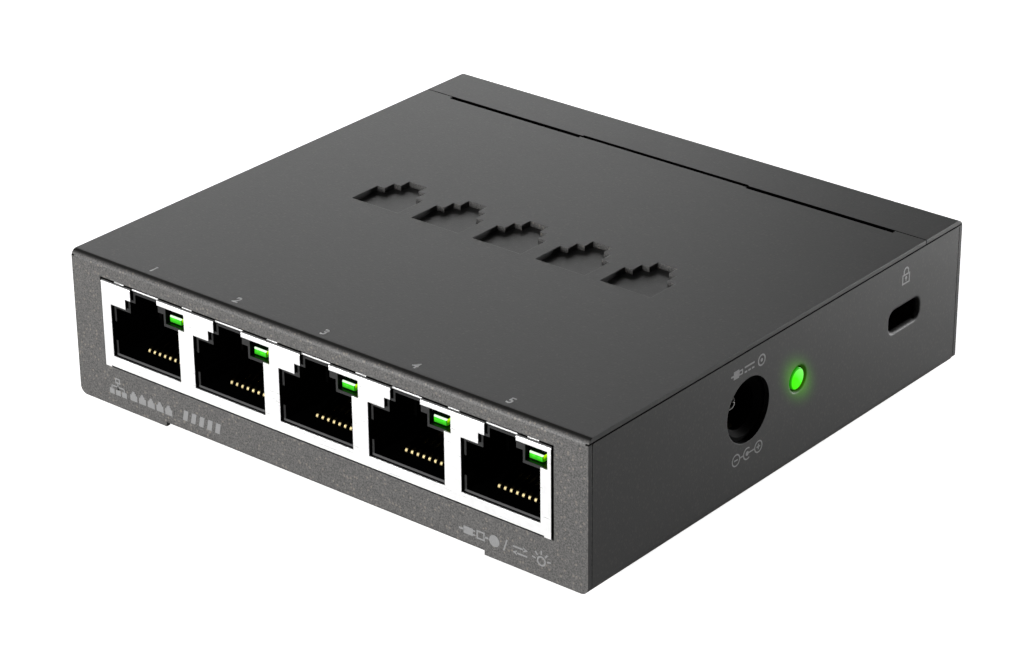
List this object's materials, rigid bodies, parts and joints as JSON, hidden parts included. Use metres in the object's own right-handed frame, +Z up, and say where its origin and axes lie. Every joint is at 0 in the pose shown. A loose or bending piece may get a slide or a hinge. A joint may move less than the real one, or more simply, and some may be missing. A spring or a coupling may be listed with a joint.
{
  "type": "desktop network switch",
  "caption": "Small desktop network switch in a folded sheet-steel case, with a row of shielded modular sockets, a barrel power inlet and a lock slot.",
  "frame": {"origin": "centre of the case's footprint, on the desk under the rubber feet", "axes": "+Z up; the sockets face -Y; +X is the side with the power inlet and the lock slot"},
  "size_m": [0.092, 0.0862, 0.0239],
  "materials": {
    "painted_steel": "fine textured powder coat, warm dark grey, satin",
    "bright_plate": "bright tin plate, smooth",
    "zinc_screw": "clear zinc plate",
    "black_plastic": "black moulded nylon, dull",
    "gilt": "gold flash over nickel",
    "spring_brass": "bare tin-brass",
    "green_lens": "clear green epoxy, lit",
    "board_laminate": "green solder mask, semi-gloss",
    "chip_epoxy": "moulded epoxy, matt",
    "tinned_leads": "matt tin",
    "can_aluminium": "drawn can, satin",
    "chip_ceramic": "fired ceramic with tinned ends",
    "foot_rubber": "soft black rubber",
    "label_film": "silver-white polyester film, blank"
  },
  "bodies": {
    "case_base": {"base_tray": "painted_steel", "rubber_feet": "foot_rubber", "cover_screws": "zinc_screw", "rating_label": "label_film", "pcb_standoffs": "zinc_screw", "pcb_screws": "zinc_screw", "circuit_board": "board_laminate", "jack_shield": "bright_plate", "jack_housing": "black_plastic", "port_contact_leads": "gilt", "port_lights": "green_lens", "port_light_leads": "tinned_leads", "dc_jack_body": "black_plastic", "dc_jack_pin": "bright_plate", "dc_jack_terminals": "tinned_leads", "power_light": "green_lens", "power_light_holder": "black_plastic", "power_light_leads": "tinned_leads", "switch_chip": "chip_epoxy", "switch_chip_pins": "tinned_leads", "magnetics_modules": "chip_epoxy", "magnetics_pins": "tinned_leads", "memory_chip": "chip_epoxy", "memory_chip_pins": "tinned_leads", "voltage_regulators": "chip_epoxy", "regulator_pins": "tinned_leads", "crystal_can": "bright_plate", "electrolytic_capacitors": "can_aluminium", "power_inductors": "chip_epoxy", "input_fuse": "chip_ceramic", "input_diode": "chip_epoxy", "small_passives": "chip_ceramic"},
    "case_cover": {"top_cover": "painted_steel"},
    "port_1_springs": {"port_1_spring_contacts": "gilt"},
    "port_2_springs": {"port_2_spring_contacts": "gilt"},
    "port_3_springs": {"port_3_spring_contacts": "gilt"},
    "port_4_springs": {"port_4_spring_contacts": "gilt"},
    "port_5_springs": {"port_5_spring_contacts": "gilt"},
    "dc_spring": {"dc_jack_spring": "spring_brass"}
  },
  "joints": [
    {"name": "cover_slide", "type": "slide", "parent": "case_base", "child": "case_cover", "axis": [0, -1, 0], "range_m": [0, 0.095]},
    {"name": "port_1_contact_flex", "type": "hinge", "parent": "case_base", "child": "port_1_springs", "pos_m": [-0.03188, -0.0388, 0.00965], "axis": [-1, 0, 0], "range_deg": [0, 10], "stiffness_Nm_per_rad": 0.00001},
    {"name": "port_2_contact_flex", "type": "hinge", "parent": "case_base", "child": "port_2_springs", "pos_m": [-0.01594, -0.0388, 0.00965], "axis": [-1, 0, 0], "range_deg": [0, 10], "stiffness_Nm_per_rad": 0.00001},
    {"name": "port_3_contact_flex", "type": "hinge", "parent": "case_base", "child": "port_3_springs", "pos_m": [0, -0.0388, 0.00965], "axis": [-1, 0, 0], "range_deg": [0, 10], "stiffness_Nm_per_rad": 0.00001},
    {"name": "port_4_contact_flex", "type": "hinge", "parent": "case_base", "child": "port_4_springs", "pos_m": [0.01594, -0.0388, 0.00965], "axis": [-1, 0, 0], "range_deg": [0, 10], "stiffness_Nm_per_rad": 0.00001},
    {"name": "port_5_contact_flex", "type": "hinge", "parent": "case_base", "child": "port_5_springs", "pos_m": [0.03188, -0.0388, 0.00965], "axis": [-1, 0, 0], "range_deg": [0, 10], "stiffness_Nm_per_rad": 0.00001},
    {"name": "dc_contact_flex", "type": "hinge", "parent": "case_base", "child": "dc_spring", "pos_m": [0.0332, -0.00875, 0.0098], "axis": [0, 1, 0], "range_deg": [0, 6], "stiffness_Nm_per_rad": 0.00001}
  ]
}
